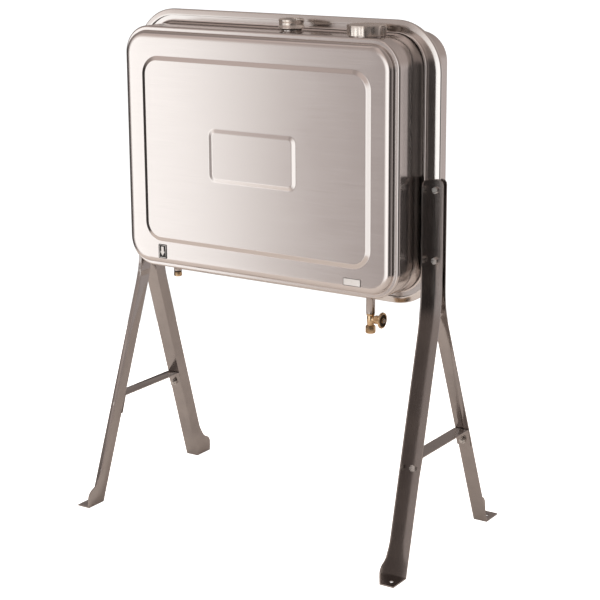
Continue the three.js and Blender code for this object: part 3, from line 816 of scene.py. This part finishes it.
def makeFiller(spec):
    centre, low, high = middleOf("filler_neck")
    base = Vector((centre.x, centre.y, low.z))
    bore, neckRadius, flange = spec["bore"], spec["neck"], spec["flange"]
    seat = (tankTop + gap * mm - low.z) / mm
    top = (high.z - low.z) / mm
    rows = [(bore, 0.4), (bore + 0.4, 0), (neckRadius - 0.4, 0), (neckRadius, 0.4), (neckRadius, seat)]
    rows += [(flange - 0.6, seat), (flange, seat + 0.6), (flange, seat + 1.8), (flange - 0.6, seat + 2.4)]
    rows += [(neckRadius + 1.2, seat + 2.4), (neckRadius, seat + 3.4)]
    root, place = neckRadius - 0.7, seat + 5
    while place < top - 2.5:
        rows += [(root, place), (root, place + 0.4), (neckRadius, place + 1), (neckRadius, place + 1.4)]
        place += 2
    rows += [(neckRadius, top - 0.8), (neckRadius - 0.8, top), (bore + 0.6, top), (bore, top - 0.6)]
    neck = turned("fillerNeck", base, rows, "Z", 64, tube=True)
    smooth(neck, 40)
    settle(neck, "filler_neck", fittingSteel)

    centre, low, high = middleOf("filler_gasket")
    thick = (high.z - low.z) / mm
    inner, outer = spec["sealBore"], neckRadius
    rows = [(inner + 0.6, 0), (outer - 0.6, 0), (outer, 0.5), (outer, thick - 0.5), (outer - 0.6, thick)]
    rows += [(inner + 0.6, thick), (inner, thick - 0.5), (inner, 0.5)]
    seal = turned("fillerSeal", (centre.x, centre.y, low.z), rows, "Z", 64, tube=True)
    smooth(seal, 40)
    settle(seal, "filler_gasket", rubber)

    centre, low, high = middleOf("filler_cap")
    tall = (high.z - low.z) / mm
    corners = spec["corners"]
    bpy.ops.object.select_all(action="DESELECT")
    bpy.ops.mesh.primitive_cylinder_add(vertices=corners, radius=spec["cap"] * mm, depth=tall * mm,
                                        location=centre, rotation=(0, 0, math.pi / corners))
    cap = bpy.context.active_object
    cap.name = cap.data.name = "fillerCap"
    bpy.ops.object.transform_apply(location=True, rotation=True, scale=True)
    bpy.ops.object.mode_set(mode="EDIT")
    pick(cap, "EDGE", lambda edge: abs(edge.verts[0].co.z - edge.verts[1].co.z) > 0.01)
    bpy.ops.mesh.bevel(offset=spec["capCorner"] * mm, segments=5, affect="EDGES")
    # the grip stands under a thin rolled top edge
    pick(cap, "FACE", lambda face: face.normal.z > 0.9)
    bpy.ops.mesh.inset(thickness=1.4 * mm)
    pick(cap, "EDGE", lambda edge: all(point.co.z > high.z - 0.0001 for point in edge.verts)
         and any(face.normal.z < 0.5 for face in edge.link_faces))
    bpy.ops.mesh.bevel(offset=1.1 * mm, segments=3, affect="EDGES")
    pick(cap, "FACE", lambda face: face.normal.z > 0.95 and face.calc_area() > 0.002)
    bpy.ops.mesh.inset(thickness=5 * mm)
    bpy.ops.mesh.inset(thickness=1.2 * mm, depth=-0.8 * mm)
    closeUp()
    base = Vector((centre.x, centre.y, low.z))
    inside = (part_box("filler_gasket")[1].z + gap * mm - low.z) / mm
    bore = spec["capBore"]
    cut(cap, turned("hollow", base, [(bore + 1, -2), (bore + 0.2, 1.2), (bore, inside)], "Z", 64))
    # finger notches between the corners
    notch, reach = spec["notch"], spec["notchReach"] * mm
    for i in range(corners):
        angle = 2 * math.pi * i / corners
        spot = base + Vector((reach * math.cos(angle), reach * math.sin(angle), 0))
        cut(cap, turned("notch", spot, [(notch, -2), (notch, tall - 4.2), (notch - 1.4, tall - 3)], "Z", 40))
    softenEdges(cap, 0.3 * mm, 2, 40)
    smooth(cap, 30)
    settle(cap, "filler_cap", chrome)


makeFiller(filler)
print("filler made")


# Level gauge: socket, knurled body, dial with its marks
gauge = {
    "bore": 15,
    "neck": 22,
    "flange": 26,
    "head": 27,
    "well": 23.5,
    "wellFloor": 5.6,
    "flutes": 24,
    "fluteReach": 28.1,
    "flute": 1.6,
    "dial": 23.2,
    "ticks": 9,
    "sweep": 240,
    "tickReach": 18.4,
    "tickSize": (0.8, 4, 0.5),
}


def keepBelow(piece, level):
    # keeps what is below a level, and closes the cut
    activate(piece)
    bpy.ops.object.mode_set(mode="EDIT")
    bpy.ops.mesh.select_all(action="SELECT")
    bpy.ops.mesh.bisect(plane_co=(0, 0, level), plane_no=(0, 0, 1), clear_outer=True, use_fill=True)
    closeUp()


def makeGauge(spec):
    centre, low, high = middleOf("gauge_socket")
    tall = (high.z - low.z) / mm
    seat = (tankTop + gap * mm - low.z) / mm
    bore, neck, flange = spec["bore"], spec["neck"], spec["flange"]
    rows = [(bore, 0.4), (bore + 0.4, 0), (neck - 0.4, 0), (neck, 0.4), (neck, seat), (flange - 0.6, seat)]
    rows += [(flange, seat + 0.5), (flange, seat + 1.5), (flange - 0.6, seat + 2), (neck + 0.8, seat + 2)]
    rows += [(neck, seat + 2.8), (neck, tall - 0.6), (neck - 0.6, tall), (bore + 0.5, tall), (bore, tall - 0.5)]
    socket = turned("gaugeSocket", (centre.x, centre.y, low.z), rows, "Z", 64, tube=True)
    smooth(socket, 40)
    settle(socket, "gauge_socket", fittingSteel)

    body = mergedCopy("gauge_body", "gaugeBody")
    centre = middleOf("gauge_dial")[0]
    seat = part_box("gauge_gasket")[1].z + gap * mm
    tall = (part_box("gauge_body")[1].z - seat) / mm
    # the head is turned afresh round the stem, with a rolled bezel over a knurled band
    keepBelow(body, seat - 0.0002)
    outer, well, floor = spec["head"], spec["well"], spec["wellFloor"]
    rows = [(14.7, -0.6), (outer - 1, 0), (outer, 1.2), (outer, 3.6), (outer - 0.8, 4.2)]
    rows += [(outer - 0.8, tall - 6), (outer, tall - 5.4), (outer, tall - 1.8), (outer - 0.6, tall - 0.6)]
    rows += [(outer - 1.8, tall), (well + 0.4, tall - 0.3), (well, tall - 1), (well, floor), (4, floor)]
    cut(body, turned("gaugeHead", (centre.x, centre.y, seat), rows, "Z", 96), "UNION")
    # grip flutes round the middle band
    reach = spec["fluteReach"] * mm
    for i in range(spec["flutes"]):
        angle = 2 * math.pi * i / spec["flutes"]
        spot = (centre.x + reach * math.cos(angle), centre.y + reach * math.sin(angle), seat)
        cut(body, turned("flute", spot, [(spec["flute"], 5.2), (spec["flute"], tall - 7)], "Z", 12))
    smooth(body, 30)
    settle(body, "gauge_body", chrome)


def makeDial(spec):
    centre, low, high = middleOf("gauge_dial")
    tall = (high.z - low.z) / mm
    outer = spec["dial"]
    rows = [(outer - 0.6, 0), (outer, 0.3), (outer, tall - 0.2), (outer - 0.3, tall), (outer - 1.8, tall)]
    rows += [(outer - 2, tall - 0.3), (2, tall - 0.3)]
    dial = turned("gaugeDial", (centre.x, centre.y, low.z), rows, "Z", 72)
    smooth(dial, 30)
    settle(dial, "gauge_dial", blackPlastic)
    # plain marks at even steps
    tick = newPiece("tick")
    spot = (centre.x, centre.y + spec["tickReach"] * mm, high.z - 0.15 * mm)
    bpy.ops.mesh.primitive_cube_add(size=mm, location=spot)
    bpy.ops.transform.resize(value=spec["tickSize"], center_override=spot)
    closeUp()
    for i in range(spec["ticks"]):
        part = i / (spec["ticks"] - 1) - 0.5
        made = copyOf(tick, f"dialTick{i}")
        turn = Matrix.Rotation(math.radians(spec["sweep"] * part), 4, "Z")
        pivot = Matrix.Translation((centre.x, centre.y, 0))
        made.data.transform(pivot @ turn @ pivot.inverted())
        made.data.materials.append(whitePlastic)
        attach(made, bodyOf["gauge_dial"])
    bpy.data.objects.remove(tick)


makeGauge(gauge)
makeDial(gauge)
print("gauge made")


# Outlet: stub, brass body with its side boss, bonnet, spindle, handwheel and union nut
outlet = {
    "stub": (9.6, 7.2),
    "body": 7.8,
    "tail": 6.2,
    "boss": 6.4,
    "bossReach": 19,
    "bore": 3.6,
    "chamber": 4.7,
    "spindle": 2.5,
    "wheel": 17.5,
    "wheelTube": 2.6,
    "scallops": 8,
    "scallop": 4.2,
    "scallopReach": 20.8,
    "wheelNutFlats": 8,
    "unionFlats": 19,
    "bonnetFlats": 16.3,
    "weld": 3.2,
}


def threadRows(radius, start, end, pitch=1.8, depth=0.5):
    # a row of grooves along a shank
    rows = [(radius, start)]
    place = start + pitch / 2
    while place < end - pitch / 2:
        rows += [(radius - depth, place), (radius, place + pitch / 2)]
        place += pitch
    return rows + [(radius, end)]


def weldedTube(name, node, outer, inner, weld, finish):
    # a tube let into the tank's foot, with its weld run round the outside
    centre, low, high = middleOf(node)
    tall = (high.z - low.z) / mm
    wall = (shellLow.z - low.z) / mm
    rows = [(inner + 0.4, 0), (outer - 0.4, 0), (outer, 0.4), (outer, wall - weld - 0.6)]
    rows += [(outer + 0.5, wall - weld), (outer + weld * 0.5, wall - weld * 0.55)]
    rows += [(outer + weld * 0.9, wall - 0.1), (outer - 0.1, wall), (outer - 0.1, tall)]
    rows += [(inner, tall), (inner, 0.4)]
    tube = turned(name, (centre.x, centre.y, low.z), rows, "Z", 48, tube=True)
    smooth(tube, 40)
    settle(tube, node, finish)


def makeValve(spec):
    centre, low, high = middleOf("valve_bonnet")
    axis = Vector((middleOf("outlet_stub")[0].x, centre.y, centre.z))
    bodyLow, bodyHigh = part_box("valve_body")
    foot, top = (bodyLow.z - axis.z) / mm, (bodyHigh.z - axis.z) / mm
    seat = (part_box("outlet_stub")[0].z - axis.z) / mm - gap
    wide, tail = spec["body"], spec["tail"]
    spigot = spec["stub"][1] - gap
    rows = [(tail - 0.7, foot)] + threadRows(tail, foot + 0.7, foot + 11)
    rows += [(tail, foot + 12), (wide - 0.9, foot + 12), (wide - 0.2, foot + 12.8), (wide - 0.2, foot + 17)]
    rows += [(wide + 0.2, foot + 19.5), (wide + 0.4, foot + 24), (wide + 0.4, foot + 28)]
    rows += [(wide + 0.1, foot + 32), (wide - 0.1, seat - 4.4), (wide + 0.9, seat - 3.6)]
    rows += [(wide + 1.2, seat - 3), (wide + 1.2, seat - 0.6), (wide + 0.7, seat)]
    rows += [(spigot, seat), (spigot, top - 0.6), (spigot - 0.6, top)]
    body = turned("valveBody", axis, rows, "Z", 48)
    boss, reach = spec["boss"], spec["bossReach"]
    rows = [(boss, 0), (boss, reach - 0.5), (boss - 0.5, reach)]
    cut(body, turned("boss", axis, rows, "X", 40), "UNION")
    softenEdges(body, 0.5 * mm, 2, 40)
    cut(body, turned("bore", axis, [(spec["bore"], foot - 2), (spec["bore"], top + 2)], "Z", 32))
    cut(body, turned("chamber", axis, [(spec["chamber"], -6.3), (spec["chamber"], reach + 2)], "X", 32))
    smooth(body, 35)
    settle(body, "valve_body", brass)

    start, end = (low.x - axis.x) / mm, (high.x - axis.x) / mm
    bonnet = hexStock("valveBonnet", axis, spec["bonnetFlats"], start, end, "X", chamfer=1.2)
    cut(bonnet, turned("seat", axis, [(boss + gap, start - 2), (boss + gap, reach + gap)], "X", 40))
    hole = spec["spindle"] + gap
    cut(bonnet, turned("drill", axis, [(hole, start), (hole, end + 2)], "X", 32))
    smooth(bonnet, 35)
    settle(bonnet, "valve_bonnet", brass)

    low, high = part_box("valve_spindle")
    start, end = (low.x - axis.x) / mm, (high.x - axis.x) / mm
    radius = spec["spindle"]
    rows = [(radius - 0.4, start), (radius, start + 0.4)] + threadRows(radius, start + 1.5, start + 9, 1, 0.3)
    rows += [(radius, end - 0.7), (radius - 0.7, end)]
    spindle = turned("valveSpindle", axis, rows, "X", 32)
    smooth(spindle, 35)
    settle(spindle, "valve_spindle", brass)

    low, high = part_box("union_nut")
    start, end = (low.z - axis.z) / mm, (high.z - axis.z) / mm
    union = hexStock("unionNut", axis, spec["unionFlats"], start, end, "Z", tail + gap, 1.4)
    settle(union, "union_nut", brass)


def makeHandwheel(spec):
    centre, low, high = middleOf("handwheel")
    hole, tube, ring = spec["spindle"] + gap, spec["wheelTube"], spec["wheel"] - spec["wheelTube"]
    rows = [(hole, -2.7), (hole + 0.3, -3), (5.1, -3), (5.5, -2.6), (5.6, -1.5), (6.4, -1)]
    rows += arc((ring, 0), (tube, tube), 203, 517, 18)
    rows += [(6.4, 1), (5.6, 1.5), (5.5, 2.6), (5.1, 3), (hole + 0.3, 3), (hole, 2.7)]
    wheel = turned("handwheel", centre, rows, "X", 96, tube=True)
    reach = spec["scallopReach"] * mm
    for i in range(spec["scallops"]):
        angle = 2 * math.pi * (i + 0.5) / spec["scallops"]
        spot = (centre.x, centre.y + reach * math.cos(angle), centre.z + reach * math.sin(angle))
        cut(wheel, turned("scallop", spot, [(spec["scallop"], -6), (spec["scallop"], 6)], "X", 32))
    # the web between the hub and the ring is dark
    wheel.data.materials.append(brass)
    wheel.data.materials.append(darkBrass)
    for face in wheel.data.polygons:
        offset = face.center - centre
        across = math.hypot(offset.y, offset.z) / mm
        face.material_index = 1 if 5.7 < across < ring - tube * 0.6 else 0
    softenEdges(wheel, 0.3 * mm, 2, 40)
    smooth(wheel, 35)
    settle(wheel, "handwheel")

    low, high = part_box("handwheel_nut")
    start, end = (low.x - centre.x) / mm, (high.x - centre.x) / mm
    nut = hexStock("handwheelNut", centre, spec["wheelNutFlats"], start, end, "X", hole, 0.6)
    settle(nut, "handwheel_nut", zinc)


weldedTube("outletStub", "outlet_stub", *outlet["stub"], outlet["weld"], fittingSteel)
makeValve(outlet)
makeHandwheel(outlet)
print("outlet made")


# Drain: socket, seal and hexagon plug
drain = {"socket": (9, 6.3), "plug": 6, "flats": 16, "head": 10, "weld": 2.8}


def makeDrain(spec):
    weldedTube("drainSocket", "drain_socket", *spec["socket"], spec["weld"], fittingSteel)
    centre, low, high = middleOf("drain_gasket")
    tall = (high.z - low.z) / mm
    outer, inner = spec["socket"][0] - gap, spec["socket"][1]
    rows = [(inner + 0.3, 0), (outer - 0.4, 0), (outer, 0.4), (outer, tall - 0.4), (outer - 0.4, tall)]
    rows += [(inner + 0.3, tall), (inner, tall - 0.3), (inner, 0.3)]
    seal = turned("drainSeal", (centre.x, centre.y, low.z), rows, "Z", 48, tube=True)
    smooth(seal, 40)
    settle(seal, "drain_gasket", rubber)

    centre, low, high = middleOf("drain_plug")
    base = (centre.x, centre.y, low.z)
    tall = (high.z - low.z) / mm
    plug = hexStock("drainPlug", base, spec["flats"], 0, spec["head"], "Z", chamfer=1.2)
    rows = threadRows(spec["plug"], spec["head"] - 2, tall - 0.8) + [(spec["plug"] - 0.7, tall)]
    cut(plug, turned("shank", base, rows, "Z", 32), "UNION")
    smooth(plug, 30)
    settle(plug, "drain_plug", brass)


makeDrain(drain)
print("drain made")


# Stickers: a black one with a border and an arrow, and a blank white one
sticker = {
    "corner": 1.6,
    "border": 1.4,
    "line": 1.1,
    "frame": 1.0,
    "shaft": 7,
    "shaftShare": 0.34,
    "head": 13,
    "headShare": 0.3,
    "printed": 0.12,
}


def makePlate(name, node, corner, finish):
    low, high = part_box(node)
    bpy.ops.object.select_all(action="DESELECT")
    bpy.ops.mesh.primitive_cube_add(size=1, location=(low + high) / 2, scale=high - low)
    plate = bpy.context.active_object
    plate.name = plate.data.name = name
    bpy.ops.object.transform_apply(location=True, rotation=True, scale=True)
    bpy.ops.object.mode_set(mode="EDIT")
    pick(plate, "EDGE", lambda edge: abs(edge.verts[0].co.y - edge.verts[1].co.y) > 0.0001)
    bpy.ops.mesh.bevel(offset=corner * mm, segments=5, affect="EDGES")
    pick(plate, "FACE", lambda face: face.normal.y < -0.9)
    plate.data.materials.append(finish)
    return plate


def paintRing(plate, first, last, index):
    # front faces that lie between two distances from the plate's edge take another material
    points = [point.co for point in plate.data.vertices]
    left, right = min(point.x for point in points), max(point.x for point in points)
    bottom, top = min(point.z for point in points), max(point.z for point in points)
    for face in plate.data.polygons:
        spots = [points[i] for i in face.vertices]
        depth = min(min(spot.x - left, right - spot.x, spot.z - bottom, top - spot.z) for spot in spots) / mm
        if face.normal.y < -0.9 and first - 0.1 < depth < last - 0.1 and len(spots) == 4:
            face.material_index = index


def makeStickers(spec):
    low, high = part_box("arrow_label")
    label = makePlate("arrowLabel", "arrow_label", spec["corner"], blackPlastic)
    label.data.materials.append(whitePlastic)
    bpy.ops.mesh.inset(thickness=spec["border"] * mm)
    bpy.ops.mesh.inset(thickness=spec["line"] * mm)
    bpy.ops.object.mode_set(mode="OBJECT")
    paintRing(label, spec["border"], spec["border"] + spec["line"], 1)
    smooth(label, 30)
    settle(label, "arrow_label")

    # the arrow: a shaft, widened at its foot and drawn down to a point
    middle = (low + high) / 2
    arrow = newPiece("labelArrow")
    tall = (high.z - low.z) / mm
    shaftTall = tall * spec["shaftShare"]
    shaft = Vector((middle.x, low.y - spec["printed"] * mm, high.z - shaftTall * mm))
    bpy.ops.mesh.primitive_plane_add(size=mm, location=shaft, rotation=(math.pi / 2, 0, 0))
    bpy.ops.transform.resize(value=(spec["shaft"], 1, shaftTall), center_override=shaft)
    foot = min(point.co.z for point in bmesh.from_edit_mesh(arrow.data).verts)
    pick(arrow, "EDGE", lambda edge: all(abs(point.co.z - foot) < 0.00001 for point in edge.verts))
    bpy.ops.mesh.extrude_edges_move(TRANSFORM_OT_translate={"value": (0, 0, -0.05 * mm)})
    bpy.ops.transform.resize(value=(spec["head"] / spec["shaft"], 1, 1), center_override=shaft)
    bpy.ops.mesh.extrude_edges_move(TRANSFORM_OT_translate={"value": (0, 0, -tall * spec["headShare"] * mm)})
    bpy.ops.transform.resize(value=(0.02, 1, 1), center_override=shaft)
    closeUp(0.000001)
    if arrow.data.polygons[0].normal.y > 0:
        arrow.data.flip_normals()
    applyModifier(arrow, "SOLIDIFY", thickness=spec["printed"] * mm, offset=-1)
    arrow.data.materials.append(whitePlastic)
    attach(arrow, bodyOf["arrow_label"])

    plate = makePlate("namePlate", "name_plate", spec["corner"], whitePlastic)
    plate.data.materials.append(blackPlastic)
    bpy.ops.mesh.inset(thickness=spec["frame"] * mm)
    bpy.ops.mesh.inset(thickness=0.3 * mm, depth=-0.1 * mm)
    closeUp(0.000001)
    paintRing(plate, 0, spec["frame"], 1)
    smooth(plate, 30)
    settle(plate, "name_plate")


makeStickers(sticker)
print("stickers made")

# Every CAD node that stays gets its finish
for name, node in frame["nodes"].items():
    if not node.hide_render:
        node.data.materials.clear()
        node.data.materials.append(finishes[slotOf[name]])
